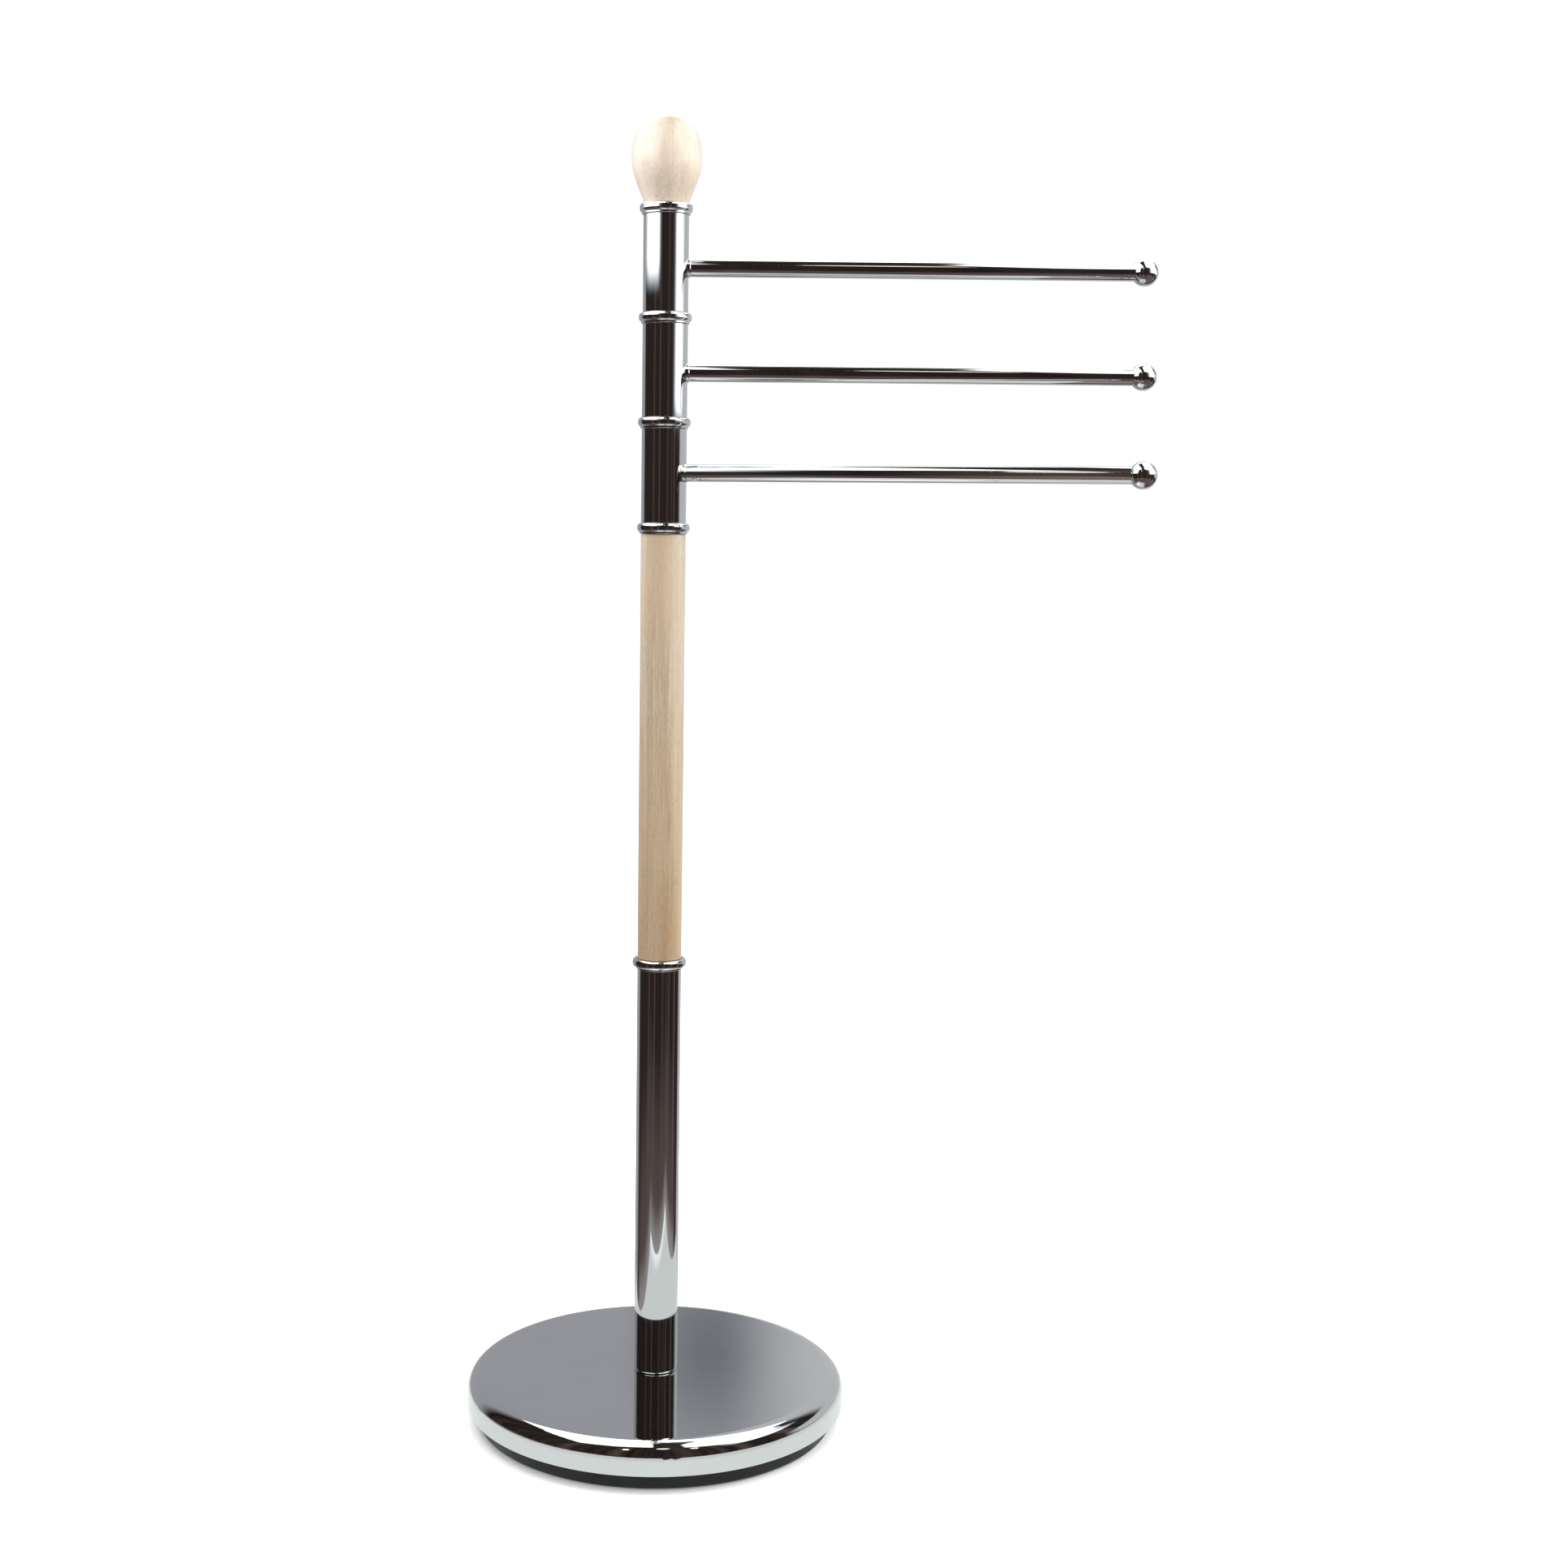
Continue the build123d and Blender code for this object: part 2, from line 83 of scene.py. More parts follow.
class Nodes:
    """A node tree that is written top down: each call adds a node and returns an output."""

    def __init__(self, tree):
        self.tree = tree

    def add(self, kind, inputs=None, output=0, **settings):
        node = self.tree.nodes.new(kind)
        for name, value in settings.items():
            setattr(node, name, value)
        for key, value in (inputs or {}).items():
            self.feed(node.inputs[key], value)
        return node.outputs[output]

    def feed(self, socket, value):
        """Links value to the socket if it is an output of a node, and otherwise sets it there."""
        if isinstance(value, bpy.types.NodeSocket):
            self.tree.links.new(value, socket)
        else:
            socket.default_value = value

    def place(self):
        """Where a point of the surface is in the frame, in metres."""
        return self.add("ShaderNodeTexCoord", output="Object")

    def axes(self, vector):
        """The three parts of a vector, along X, Y and Z."""
        return self.add("ShaderNodeSeparateXYZ", {0: vector}).node.outputs

    def azimuth(self, place):
        """Azimuth of a place round the post, in degrees."""
        x, y, _ = self.axes(place)
        turn = self.maths("ARCTAN2", x, self.product(y, -1.0))
        return self.maths("DEGREES", turn)

    def maths(self, operation, first, second=0.0):
        return self.add("ShaderNodeMath", {0: first, 1: second}, operation=operation)

    def product(self, first, *others):
        for other in others:
            first = self.maths("MULTIPLY", first, other)
        return first

    def vector_maths(self, operation, first, second=(0.0, 0.0, 0.0), output="Vector"):
        keys = {0: first, 1: second}
        return self.add("ShaderNodeVectorMath", keys, output=output, operation=operation)

    def length(self, vector):
        return self.vector_maths("LENGTH", vector, output="Value")

    def spread(self, value, start, end, at_start=0.0, at_end=1.0):
        """value mapped smoothly from start..end to at_start..at_end, and held there outside."""
        keys = {"Value": value, "From Min": start, "From Max": end}
        keys.update({"To Min": at_start, "To Max": at_end})
        return self.add("ShaderNodeMapRange", keys, interpolation_type="SMOOTHSTEP")

    def hill(self, value, centre, reach):
        """1 where value is at centre, falling smoothly to 0 at reach on either side."""
        away = self.maths("ABSOLUTE", self.maths("SUBTRACT", value, centre))
        return self.spread(away, start=0.0, end=reach, at_start=1.0, at_end=0.0)

    def stretch(self, vector, scale, shift=(0.0, 0.0, 0.0)):
        """vector times scale on each axis, and then shifted."""
        return self.add("ShaderNodeMapping", {"Vector": vector, "Scale": scale, "Location": shift})

    def noise(self, place, scale, detail=2.0, roughness=0.5, distortion=0.0):
        """Cloudy noise. scale is clouds per metre, as one number or as one for each axis."""
        if isinstance(scale, tuple):
            place = self.stretch(place, scale)
            scale = 1.0
        keys = {"Vector": place, "Scale": scale, "Detail": detail}
        keys.update({"Roughness": roughness, "Distortion": distortion})
        return self.add("ShaderNodeTexNoise", keys)

    def blend(self, factor, first, second, mode="MIX"):
        """Two colours mixed. Each is an output of a node or a linear (r, g, b)."""
        node = self.tree.nodes.new("ShaderNodeMix")
        node.data_type = "RGBA"
        node.blend_type = mode
        self.feed(node.inputs["Factor"], factor)
        # A Mix node has sockets of the same name for numbers, vectors and colours.
        first_colour, second_colour, mixed_colour = node.inputs[6], node.inputs[7], node.outputs[2]
        for socket, colour in ((first_colour, first), (second_colour, second)):
            self.feed(socket, (*colour, 1.0) if isinstance(colour, tuple) else colour)
        return mixed_colour


def new_finish(name, constants):
    """(material, node helper, Principled shader), with the shader's constant inputs set."""
    material = bpy.data.materials.new(name)
    material.use_nodes = True
    shader = material.node_tree.nodes["Principled BSDF"]
    for key, value in constants.items():
        shader.inputs[key].default_value = value
    return material, Nodes(material.node_tree), shader


def apply_finish(nodes, shader, colour, roughness, relief, depth):
    """Links colour and roughness, and raises the surface by relief times depth, in metres."""
    nodes.feed(shader.inputs["Base Color"], colour)
    nodes.feed(shader.inputs["Roughness"], roughness)
    bump = nodes.add("ShaderNodeBump", {"Height": relief, "Distance": depth, "Strength": 1.0})
    nodes.feed(shader.inputs["Normal"], bump)


# ---------------------------------------------------------------- finishes


def chrome():
    """Bright chromium plate: a slightly cold mirror with faint smears and a slow waviness."""
    material, nodes, shader = new_finish("chrome_finish", {"Metallic": 1.0})
    place = nodes.place()
    cloud = nodes.noise(place, scale=26.0, detail=4.0, roughness=0.6)
    smear = nodes.noise(place, (70.0, 70.0, 24.0), detail=5.0, roughness=0.65, distortion=0.6)
    wave = nodes.noise(place, scale=24.0, detail=1.0, roughness=0.4)
    darker, lighter = (0.595, 0.615, 0.625), (0.655, 0.675, 0.685)
    colour = nodes.blend(cloud, darker, lighter)
    roughness = nodes.spread(smear, start=0.35, end=0.75, at_start=0.025, at_end=0.065)
    apply_finish(nodes, shader, colour, roughness, wave, depth=0.000015)
    return material


def wood(name, pale, tan, streak, seed, flecks, lacquer, ends, sheen_and_shade_tints):
    """Pale lacquered hardwood: soft bands, fine fibres, a few long dark lines and short flecks.

    The grain runs along Z. pale, tan and streak are its colours, and seed shifts the pattern.
    flecks is how dark the flecks are, and lacquer is the lacquer's index of refraction. ends is a
    pair of heights, and tints is what the colour is multiplied by below and above them. The tints
    are painted light: a painted sheen where they make the wood paler, painted shade where darker.
    """
    constants = {"Coat Weight": 0.9, "Coat Roughness": 0.28, "Coat IOR": lacquer}
    material, nodes, shader = new_finish(name, constants)
    origin = nodes.place()
    place = nodes.stretch(origin, (1.0, 1.0, 1.0), seed)

    fibre = nodes.noise(place, (1000.0, 1000.0, 24.0), detail=5.0, roughness=0.7)
    band = nodes.noise(place, (95.0, 95.0, 3.4), detail=4.0, roughness=0.6, distortion=0.4)
    grit = nodes.noise(place, (800.0, 800.0, 230.0), detail=3.0, roughness=0.6)
    fibre_share, band_share, grit_share = 0.35, 0.65, 0.25
    tone = nodes.maths("ADD", nodes.product(fibre, fibre_share), nodes.product(band, band_share))
    tone = nodes.maths("ADD", tone, nodes.product(grit, grit_share))
    colour = nodes.blend(nodes.spread(tone, start=0.49, end=0.76), pale, tan)

    # Painted light by height: one tint below the ends and another above them, for painted sheen or
    # shade.
    height = nodes.axes(origin)[2]
    sheen_and_shade_tint = nodes.blend(nodes.spread(height, *ends), *sheen_and_shade_tints)
    colour = nodes.blend(1.0, colour, sheen_and_shade_tint, mode="MULTIPLY")

    patch = nodes.noise(place, (34.0, 34.0, 9.0))
    blush = (pale[0], pale[1] * 0.94, pale[2] * 0.88)
    colour = nodes.blend(nodes.spread(patch, start=0.45, end=0.75, at_end=0.6), colour, blush)

    # Long dark lines follow the middle value of one noise, and a second one hides most of them.
    line = nodes.noise(place, (330.0, 330.0, 3.5), roughness=0.6)
    line = nodes.hill(line, centre=0.5, reach=0.018)
    rarely = nodes.noise(place, (75.0, 75.0, 13.0), detail=1.0)
    line = nodes.product(line, nodes.spread(rarely, start=0.58, end=0.68))
    line_strength = 0.6
    colour = nodes.blend(nodes.product(line, line_strength), colour, streak)

    fleck = nodes.add(
        "ShaderNodeTexVoronoi",
        {"Vector": nodes.stretch(place, (800.0, 800.0, 200.0)), "Scale": 1.0, "Randomness": 1.0},
        output="Distance",
    )
    fleck = nodes.spread(fleck, start=0.05, end=0.26, at_start=1.0, at_end=0.0)
    crowd = nodes.noise(place, (150.0, 150.0, 60.0))
    fleck = nodes.product(fleck, nodes.spread(crowd, start=0.46, end=0.64))
    colour = nodes.blend(nodes.product(fleck, flecks), colour, streak)

    roughness = nodes.spread(fibre, *NOISE_RANGE, at_start=0.42, at_end=0.58)
    relief = nodes.maths("SUBTRACT", fibre, nodes.maths("ADD", fleck, line))
    apply_finish(nodes, shader, colour, roughness, relief, depth=0.00004)
    return material


def post_wood():
    """The post's wood with painted light: warmer at its lower end, and paler and bluer above as a
    painted sheen from the lights overhead.
    """
    return wood(
        "post_wood",
        pale=(0.60, 0.465, 0.325),
        tan=(0.44, 0.305, 0.185),
        streak=(0.17, 0.09, 0.045),
        seed=(0.0, 0.0, 0.0),
        flecks=0.5,
        lacquer=1.45,
        # Paler and bluer above: painted sheen of the overhead lights; warmer below.
        ends=(0.25, 0.60),
        sheen_and_shade_tints=((1.02, 0.97, 0.87), (1.06, 1.19, 1.36)),
    )


def knob_wood():
    """The knob's wood, darker on top with painted shade."""
    return wood(
        "knob_wood",
        pale=(0.65, 0.56, 0.465),
        tan=(0.54, 0.435, 0.325),
        streak=(0.27, 0.15, 0.08),
        seed=(0.13, 0.07, 0.3),
        flecks=1.0,
        lacquer=1.5,
        # Darker on top: painted shade over the knob's top and shoulders.
        ends=(0.793, 0.824),
        sheen_and_shade_tints=((1.03, 1.03, 1.05), (0.65, 0.64, 0.64)),
    )


def moulded_plastic():
    """Black moulded plastic with a fine spark-eroded skin and dull scuffs."""
    material, nodes, shader = new_finish("moulded_plastic", {"Specular IOR Level": 0.35})
    place = nodes.place()
    skin = nodes.noise(place, scale=2600.0)
    scuff = nodes.noise(place, (60.0, 60.0, 240.0), detail=4.0, roughness=0.7)
    clean, scuffed = (0.006, 0.005, 0.007), (0.018, 0.016, 0.019)
    colour = nodes.blend(nodes.spread(scuff, start=0.45, end=0.8), clean, scuffed)
    roughness = nodes.spread(scuff, start=0.3, end=0.75, at_start=0.34, at_end=0.55)
    apply_finish(nodes, shader, colour, roughness, skin, depth=0.00003)
    return material


def pad_foam():
    """Dark closed-cell foam: small round cells with painted shade in their pits, and a dusty skin.
    """
    material, nodes, shader = new_finish("pad_foam_finish", {"Specular IOR Level": 0.2})
    place = nodes.place()
    keys = {"Vector": place, "Scale": 1300.0}
    cells = nodes.add("ShaderNodeTexVoronoi", keys, output="Distance")
    dust = nodes.noise(place, scale=90.0, detail=4.0, roughness=0.65)
    # The pits of the cells get the darkest colour: painted shade.
    shaded_pit, wall, dusty = (0.010, 0.010, 0.011), (0.035, 0.034, 0.036), (0.075, 0.072, 0.068)
    colour = nodes.blend(nodes.spread(cells, start=0.1, end=0.6), shaded_pit, wall)
    colour = nodes.blend(nodes.spread(dust, start=0.5, end=0.85, at_end=0.35), colour, dusty)
    roughness = nodes.spread(dust, *NOISE_RANGE, at_start=0.82, at_end=0.96)
    apply_finish(nodes, shader, colour, roughness, cells, depth=0.00025)
    return material


def cast_iron():
    """Sand-cast iron under a thin grey paint, with patches of rust."""
    material, nodes, shader = new_finish("cast_iron_finish", {"Metallic": 0.75})
    place = nodes.place()
    sand = nodes.noise(place, scale=900.0, detail=5.0, roughness=0.7)
    rust = nodes.noise(place, scale=60.0, detail=4.0, roughness=0.6)
    dark, light, rusty = (0.045, 0.045, 0.047), (0.105, 0.104, 0.102), (0.16, 0.075, 0.035)
    colour = nodes.blend(sand, dark, light)
    colour = nodes.blend(nodes.spread(rust, start=0.6, end=0.8, at_end=0.45), colour, rusty)
    roughness = nodes.spread(sand, *NOISE_RANGE, at_start=0.55, at_end=0.8)
    apply_finish(nodes, shader, colour, roughness, sand, depth=0.0003)
    return material


def plated_steel():
    """Bright zinc plate on steel: a pale spangle and turning marks round Z."""
    material, nodes, shader = new_finish("plated_steel", {"Metallic": 1.0})
    place = nodes.place()
    keys = {"Vector": place, "Scale": 420.0}
    spangle = nodes.add("ShaderNodeTexVoronoi", keys, output="Color")
    marks = nodes.noise(place, (12.0, 12.0, 2600.0), detail=3.0)
    bluish, yellowish = (0.50, 0.52, 0.54), (0.66, 0.66, 0.63)
    colour = nodes.blend(spangle, bluish, yellowish)
    roughness = nodes.spread(marks, *NOISE_RANGE, at_start=0.24, at_end=0.42)
    apply_finish(nodes, shader, colour, roughness, marks, depth=0.00002)
    return material


def turned_brass():
    """Free-cutting brass with turning marks and darker handled patches."""
    material, nodes, shader = new_finish("turned_brass", {"Metallic": 1.0})
    place = nodes.place()
    marks = nodes.noise(place, (10.0, 10.0, 2200.0), detail=3.0)
    tarnish = nodes.noise(place, scale=180.0, detail=4.0, roughness=0.6)
    bright, dull = (0.80, 0.57, 0.24), (0.44, 0.29, 0.11)
    colour = nodes.blend(nodes.spread(tarnish, start=0.4, end=0.8), bright, dull)
    roughness = nodes.spread(marks, *NOISE_RANGE, at_start=0.22, at_end=0.4)
    apply_finish(nodes, shader, colour, roughness, marks, depth=0.00002)
    return material


def bush_nylon():
    """Natural white nylon, waxy and slightly mottled."""
    material, nodes, shader = new_finish("bush_nylon", {"Subsurface Weight": 0.15})
    mottle = nodes.noise(nodes.place(), scale=320.0, detail=4.0)
    darker, lighter = (0.74, 0.72, 0.66), (0.86, 0.85, 0.81)
    colour = nodes.blend(mottle, darker, lighter)
    roughness = nodes.spread(mottle, *NOISE_RANGE, at_start=0.38, at_end=0.52)
    apply_finish(nodes, shader, colour, roughness, mottle, depth=0.00004)
    return material


def dress_frame():
    """Gives each CAD node its finish in place of the plain colour of its slot."""
    finishes = {
        "chrome": chrome(),
        "pale_wood": post_wood(),
        "black_plastic": moulded_plastic(),
        "pad_foam": pad_foam(),
        "cast_iron": cast_iron(),
        "zinc_steel": plated_steel(),
        "brass": turned_brass(),
        "nylon": bush_nylon(),
    }
    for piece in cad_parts.values():
        for slot in piece.material_slots:
            slot.material = finishes[slot.material.name]
    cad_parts["knob"].material_slots[0].material = knob_wood()


# ---------------------------------------------------------------- studio


def new_mesh(name, points, faces, material):
    mesh = bpy.data.meshes.new(name)
    mesh.from_pydata([tuple(point) for point in points], [], faces)
    mesh.materials.append(material)
    piece = bpy.data.objects.new(name, mesh)
    bpy.context.scene.collection.objects.link(piece)
    return piece


def only_mirrored(piece):
    """piece shows in reflections and nowhere else, and gives no light."""
    piece.visible_camera = False
    piece.visible_diffuse = False
    piece.visible_shadow = False
    piece.visible_transmission = False
    piece.visible_volume_scatter = False
    for slot in piece.material_slots:
        slot.material.cycles.emission_sampling = "NONE"


def level_rectangle(name, left, front, right, back, height, material):
    """A rectangle parallel to the floor, between two values of x and two of y."""
    corners = [(left, front), (right, front), (right, back), (left, back)]
    points = [(x, y, height) for x, y in corners]
    return new_mesh(name, points, [(0, 1, 2, 3)], material)


def lay_floor():
    """A wide pale floor of matt white paint, lit from below, and more so away from the stand.

    The chrome does not mirror it, and it sends no light back up.
    """
    material, nodes, shader = new_finish("pale_paint", {"Specular IOR Level": 0.1})
    place = nodes.place()
    mottle = nodes.noise(place, scale=9.0, detail=4.0)
    darker, lighter = (0.90, 0.90, 0.90), (0.94, 0.94, 0.94)
    paint = nodes.blend(mottle, darker, lighter)
    glow = nodes.spread(nodes.length(place), *FLOOR_GLOW_AT, *FLOOR_GLOW)
    roughness = nodes.spread(mottle, *NOISE_RANGE, at_start=0.85, at_end=0.95)
    nodes.feed(shader.inputs["Base Color"], paint)
    nodes.feed(shader.inputs["Emission Color"], paint)
    nodes.feed(shader.inputs["Emission Strength"], glow)
    nodes.feed(shader.inputs["Roughness"], roughness)
    half = FLOOR_SIZE / 2
    floor = level_rectangle("floor", -half, -half, half, half, 0.0, material)
    floor.visible_glossy = False
    floor.visible_diffuse = False


def new_glow(name):
    """(material, node helper) of a plain glowing surface, which finish_glow completes."""
    material = bpy.data.materials.new(name)
    material.use_nodes = True
    material.node_tree.nodes.remove(material.node_tree.nodes["Principled BSDF"])
    return material, Nodes(material.node_tree)


def finish_glow(material, nodes, colour, strength=1.0, cover=1.0):
    """The surface glows with colour where cover is 1 and is clear where it is 0."""
    if isinstance(colour, tuple):
        colour = (*colour, 1.0)
    glow = nodes.add("ShaderNodeEmission", {"Color": colour, "Strength": strength})
    clear = nodes.add("ShaderNodeBsdfTransparent")
    mixed = nodes.add("ShaderNodeMixShader", {0: cover, 1: clear, 2: glow})
    nodes.feed(material.node_tree.nodes["Material Output"].inputs["Surface"], mixed)


def room_paint():
    """The room that the chrome mirrors: dark brown in front with hangings, cool grey behind."""
    material, nodes = new_glow("room_paint")
    place = nodes.place()
    toward = nodes.vector_maths("NORMALIZE", place)
    across, depth, height = nodes.axes(toward)
    azimuth = nodes.azimuth(place)

    wall, ground = (0.036, 0.026, 0.023), (0.130, 0.094, 0.090)
    front = nodes.blend(nodes.spread(height, start=-0.18, end=-0.42), wall, ground)
    folds_per_degree = 0.11
    along = nodes.add("ShaderNodeCombineXYZ", {0: nodes.product(azimuth, folds_per_degree)})
    folds = nodes.noise(along, scale=1.0, detail=3.0, roughness=0.7)
    fabric = nodes.spread(folds, start=0.34, end=0.68, at_start=0.4, at_end=1.45)
    for centre, reach, gain in HANGINGS:
        hanging = nodes.product(nodes.hill(azimuth, centre, reach), gain)
        fabric = nodes.maths("ADD", fabric, hanging)
    front = nodes.blend(1.0, front, fabric, mode="MULTIPLY")

    # Behind, a darker patch hangs above the horizon, and the right side is paler.
    patch_scale, patch_shift = (4.2, 0.0, 3.2), (-0.75, 0.0, -7.0)
    from_patch = nodes.length(nodes.stretch(place, patch_scale, patch_shift))
    in_patch = nodes.spread(from_patch, start=0.0, end=1.4, at_start=1.0, at_end=0.0)
    grey, dark_grey, pale = (0.43, 0.43, 0.455), (0.225, 0.235, 0.255), (0.70, 0.70, 0.71)
    back = nodes.blend(in_patch, grey, dark_grey)
    back = nodes.blend(nodes.spread(across, start=0.035, end=0.1, at_end=0.85), back, pale)

    # On the right, just above the horizon, the grey reaches further forward.
    rightward = nodes.spread(across, start=-0.2, end=0.2)
    above_horizon = nodes.spread(height, start=-0.12, end=0.0, at_start=-0.05, at_end=0.53)
    not_high_up = nodes.spread(height, start=0.2, end=0.35, at_start=1.0, at_end=0.0)
    sooner = nodes.product(rightward, above_horizon, not_high_up)
    behind = nodes.spread(nodes.maths("ADD", depth, sooner), start=0.36, end=0.62)
    finish_glow(material, nodes, nodes.blend(behind, front, back))
    return material


def build_room():
    """A ball round everything, which only the chrome sees."""
    steps_round, steps_up = 64, 32
    points = []
    for row in range(steps_up + 1):
        tilt = math.pi * row / steps_up
        side = math.sin(tilt)
        for column in range(steps_round):
            turn = 2 * math.pi * column / steps_round
            point = Vector((side * math.cos(turn), side * math.sin(turn), math.cos(tilt)))
            points.append(point * ROOM_RADIUS)
    faces = []
    for row in range(steps_up):
        for column in range(steps_round):
            beside = (column + 1) % steps_round
            first, second = row * steps_round, (row + 1) * steps_round
            faces.append((first + column, first + beside, second + beside, second + column))
    only_mirrored(new_mesh("room", points, faces, room_paint()))


def mirrored_table():
    """The pale table top under the stand as the chrome mirrors it. Its front edge is brighter."""
    material, nodes = new_glow("table_glow")
    place = nodes.place()
    low, high = TABLE_LOW, TABLE_HIGH
    near, far, edge = (1.0, 1.03, 1.0), (0.86, 0.885, 0.865), (1.3, 1.3, 1.32)
    front_edge = (low.y, low.y + 0.05)
    colour = nodes.blend(nodes.spread(nodes.length(place), start=0.16, end=0.21), near, far)
    at_edge = nodes.spread(nodes.axes(place)[1], *front_edge, at_start=1.0, at_end=0.0)
    finish_glow(material, nodes, nodes.blend(at_edge, colour, edge))
    only_mirrored(level_rectangle("table_top", low.x, low.y, high.x, high.y, 0.0, material))


def mirrored_floor():
    """The floor seen past the table's edges: brightest beside them, and gone at its reach."""
    material, nodes = new_glow("near_floor_glow")
    place = nodes.place()
    low, high = TABLE_LOW, TABLE_HIGH
    middle, half = (low + high) / 2, (high - low) / 2
    offset = nodes.vector_maths("SUBTRACT", place, (*middle, 0.0))
    offset = nodes.vector_maths("ABSOLUTE", offset)
    offset = nodes.vector_maths("SUBTRACT", offset, (*half, 0.0))
    beyond_side, beyond_front, _ = nodes.axes(offset)
    beyond = nodes.maths("MAXIMUM", beyond_side, beyond_front)

    beside_table, further = (0.40, 0.36, 0.35), (0.130, 0.094, 0.088)
    colour = nodes.blend(nodes.spread(beyond, start=0.0, end=0.14), beside_table, further)
    in_reach = nodes.spread(beyond, 0.0, FLOOR_REACH, at_start=1.0, at_end=0.0)
    in_front = nodes.spread(nodes.axes(place)[1], 0.0, FLOOR_BACK, at_start=1.0, at_end=0.0)
    finish_glow(material, nodes, colour, cover=nodes.product(in_reach, in_front))
    left, right, front = low.x - FLOOR_REACH, high.x + FLOOR_REACH, low.y - FLOOR_REACH
    edges = (left, front, right, FLOOR_BACK)
    only_mirrored(level_rectangle("near_floor", *edges, -FLOOR_DROP, material))


def wall_panel(name, distance, bottom, near, far):
    """A curved lit screen round the post, up to the height of the screens overhead.

    near and far are pairs of azimuths over which its two ends fade from nothing to full. Its
    lower edge fades too. Where it fades it is a little blue.
    """
    material, nodes = new_glow(name)
    place = nodes.place()
    azimuth = nodes.azimuth(place)
    sides = nodes.product(nodes.spread(azimuth, *near), nodes.spread(azimuth, *far))
    foot = nodes.spread(nodes.axes(place)[2], bottom, bottom + PANEL_FADE)
    cover = nodes.product(sides, foot)
    bluish = (0.80, 0.89, 1.0)
    colour = nodes.blend(nodes.spread(cover, start=0.0, end=0.5), bluish, WHITE)
    finish_glow(material, nodes, colour, PANEL_RADIANCE, cover)

    steps = 48
    first, last = sorted((near[0], far[0]))
    points = []
    faces = []
    for step in range(steps + 1):
        spot = heading(first + (last - first) * step / steps) * distance
        points += [(spot.x, spot.y, bottom), (spot.x, spot.y, CEILING)]
    for step in range(steps):
        faces.append((2 * step, 2 * step + 2, 2 * step + 3, 2 * step + 1))
    only_mirrored(new_mesh(name, points, faces, material))


def ceiling_panel(name, outline, fade):
    """A lit screen overhead: a convex outline, given anticlockwise, whose edges fade."""
    material, nodes = new_glow(name)
    place = nodes.place()
    cover = 1.0
    for (x, y), (next_x, next_y) in zip(outline, outline[1:] + outline[:1]):
        length = math.hypot(next_x - x, next_y - y)
        inward = (-(next_y - y) / length, (next_x - x) / length, 0.0)
        along = nodes.vector_maths("DOT_PRODUCT", place, inward, output="Value")
        edge = inward[0] * x + inward[1] * y
        cover = nodes.product(cover, nodes.spread(along, edge, edge + fade))
    finish_glow(material, nodes, WHITE, PANEL_RADIANCE, cover)
    points = [(x, y, CEILING) for x, y in outline]
    only_mirrored(new_mesh(name, points, [tuple(range(len(points)))], material))


def lamp(name, azimuth, elevation, half_width, half_height, radiance):
    """A warm oval lamp in the dark part of the room. All its angles are in degrees."""
    material, nodes = new_glow(name)
    warm_white = (1.0, 0.93, 0.78)
    finish_glow(material, nodes, warm_white, radiance)
    steps = 24
    points = []
    for step in range(steps):
        turn = 2 * math.pi * step / steps
        tilt = math.radians(elevation + half_height * math.sin(turn))
        flat = heading(azimuth + half_width * math.cos(turn)) * math.cos(tilt)
        points.append((flat + Vector((0, 0, math.sin(tilt)))) * LAMP_DISTANCE)
    only_mirrored(new_mesh(name, points, [tuple(range(steps))], material))


def unseen_light(name, centre, facing, width, height, share):
    """A rectangular light that shows in no reflection.

    facing is the direction it shines in, and share is its part of LIGHT_RADIANCE.
    """
    data = bpy.data.lights.new(name, "AREA")
    data.shape = "RECTANGLE"
    data.size = width
    data.size_y = height
    data.energy = share * LIGHT_RADIANCE * math.pi * width * height
    light = bpy.data.objects.new(name, data)
    turn = Vector(facing).to_track_quat("-Z", "Y").to_matrix().to_4x4()
    light.matrix_world = Matrix.Translation(centre) @ turn
    light.visible_camera = False
    light.visible_glossy = False
    bpy.context.scene.collection.objects.link(light)


def light_from_side(name, azimuth, distance, above_floor, width, height, share):
    """An unseen light at an azimuth in degrees, facing the post."""
    outward = heading(azimuth)
    centre = outward * distance + Vector((0, 0, above_floor))
    unseen_light(name, centre, -outward, width, height, share)


def build_mirrored_lamps():
    """Lit screens on the left, on the right and overhead, and three lamps in the dark in front."""
    wall_panel("left_wall", distance=0.5, bottom=0.766, near=(-22.0, -46.0), far=(-134.0, -82.0))
    wall_panel("right_wall", distance=0.9, bottom=0.674, near=(40.0, 72.0), far=(112.0, 78.0))

    left = [(-0.95, -0.62), (0.0, -0.62), (0.0, 0.3), (-0.95, 0.3)]
    right = [(0.33, -0.76), (1.15, -0.76), (1.15, 0.45), (0.25, 0.45), (0.21, 0.0), (0.195, -0.26)]
    back = [(-0.9, 0.27), (0.9, 0.27), (0.9, 0.95), (-0.9, 0.95)]
    ceiling_panel("left_ceiling", left, fade=0.05)
    ceiling_panel("right_ceiling", right, fade=0.05)
    ceiling_panel("back_ceiling", back, fade=0.08)

    small = {"half_width": 2.5, "half_height": 3.0, "radiance": 4.0}
    large = {"half_width": 5.0, "half_height": 4.0, "radiance": 1.7}
    lamp("lamp_middle", azimuth=7.0, elevation=57.0, **large)
    lamp("lamp_left", azimuth=-20.0, elevation=46.0, **small)
    lamp("lamp_right", azimuth=29.0, elevation=50.0, **small)


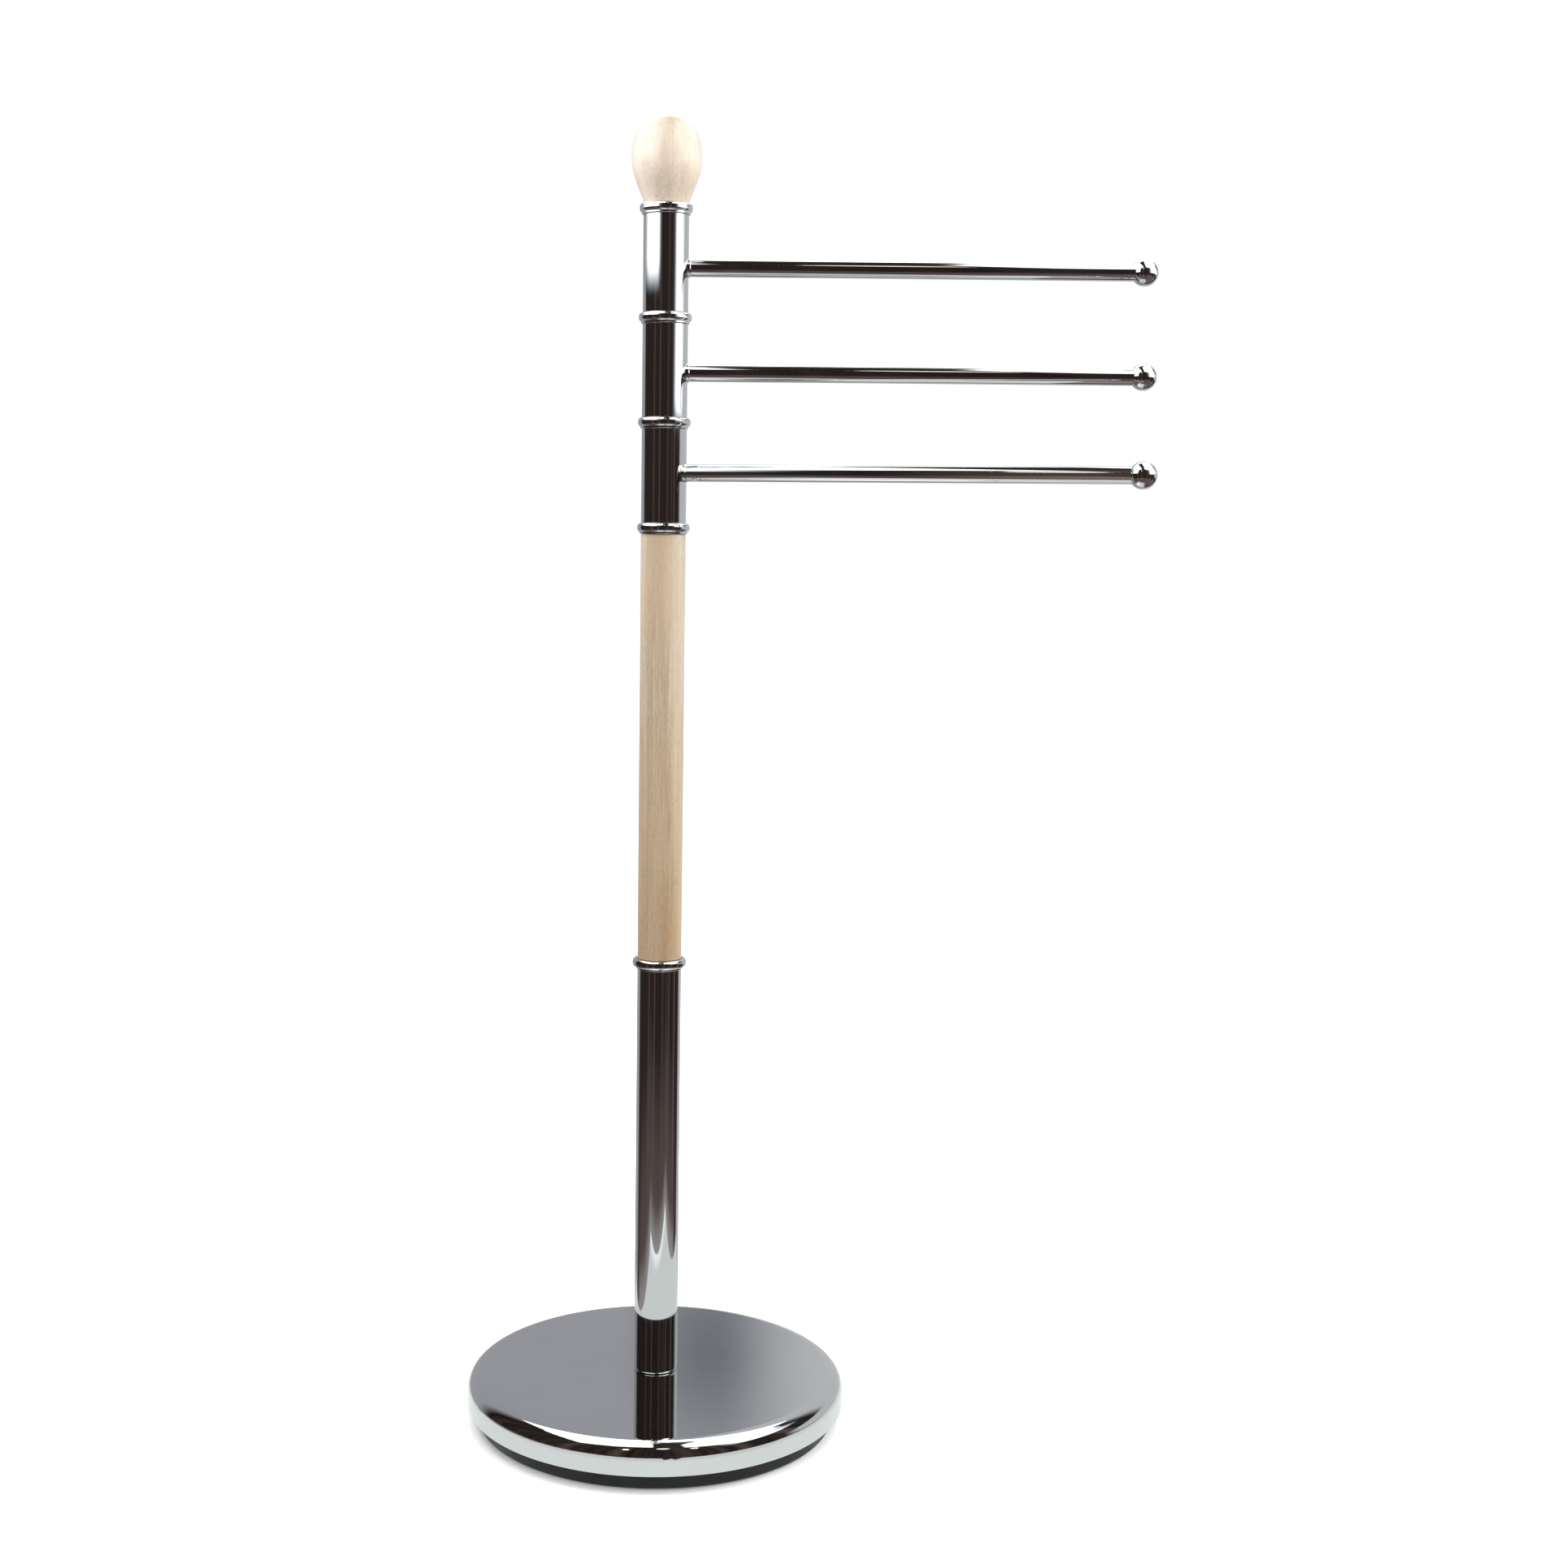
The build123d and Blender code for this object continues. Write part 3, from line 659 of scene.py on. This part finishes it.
def light_studio():
    """Soft lights on either side, overhead, behind and in front. No reflection shows them."""
    left = {"azimuth": -78, "distance": 0.6, "above_floor": 1.05, "width": 1.1, "height": 0.6}
    right = {"azimuth": 70, "distance": 0.9, "above_floor": 1.0, "width": 0.9, "height": 0.66}
    light_from_side("left_light", share=0.85, **left)
    light_from_side("right_light", share=1.25, **right)

    down = (0, 0, -1)
    inward_and_down = (0, 1, -0.8)
    left_top = (-0.47, -0.16, CEILING)
    right_top = (0.68, -0.2, CEILING)
    back_top = (0.0, 0.95, CEILING)
    front_top = (0.1, -1.3, CEILING + 0.3)
    unseen_light("left_top_light", left_top, down, width=0.9, height=0.88, share=0.4)
    unseen_light("right_top_light", right_top, down, width=0.9, height=1.0, share=0.4)
    unseen_light("back_top_light", back_top, down, width=2.2, height=1.3, share=0.3)
    unseen_light("front_top_light", front_top, inward_and_down, width=1.4, height=0.5, share=0.8)


def build_sky():
    """A white sky, which the camera sees brighter than the surfaces do."""
    world = bpy.data.worlds.new("sky")
    world.use_nodes = True
    nodes = Nodes(world.node_tree)
    background = world.node_tree.nodes["Background"]
    background.inputs["Color"].default_value = (*WHITE, 1.0)
    seen = nodes.add("ShaderNodeLightPath", output="Is Camera Ray")
    strength = nodes.spread(seen, 0.0, 1.0, SKY_FOR_SHADING, SKY_FOR_CAMERA)
    nodes.feed(background.inputs["Strength"], strength)
    bpy.context.scene.world = world
    bpy.context.scene.view_settings.view_transform = "Standard"


def place_camera():
    data = bpy.data.cameras.new("camera")
    data.lens = CAMERA_LENS
    data.shift_x = CAMERA_SHIFT
    data.clip_end = CAMERA_FAR_END
    camera = bpy.data.objects.new("camera", data)
    turn = Matrix.Rotation(math.radians(-CAMERA_YAW), 4, "Z")
    turn = turn @ Matrix.Rotation(math.radians(90 - CAMERA_PITCH), 4, "X")
    turn = turn @ Matrix.Rotation(math.radians(CAMERA_ROLL), 4, "Z")
    camera.matrix_world = Matrix.Translation(CAMERA_PLACE) @ turn
    bpy.context.scene.collection.objects.link(camera)
    bpy.context.scene.camera = camera


place_camera()
dress_frame()
lay_floor()
build_room()
mirrored_table()
mirrored_floor()
build_mirrored_lamps()
light_studio()
build_sky()
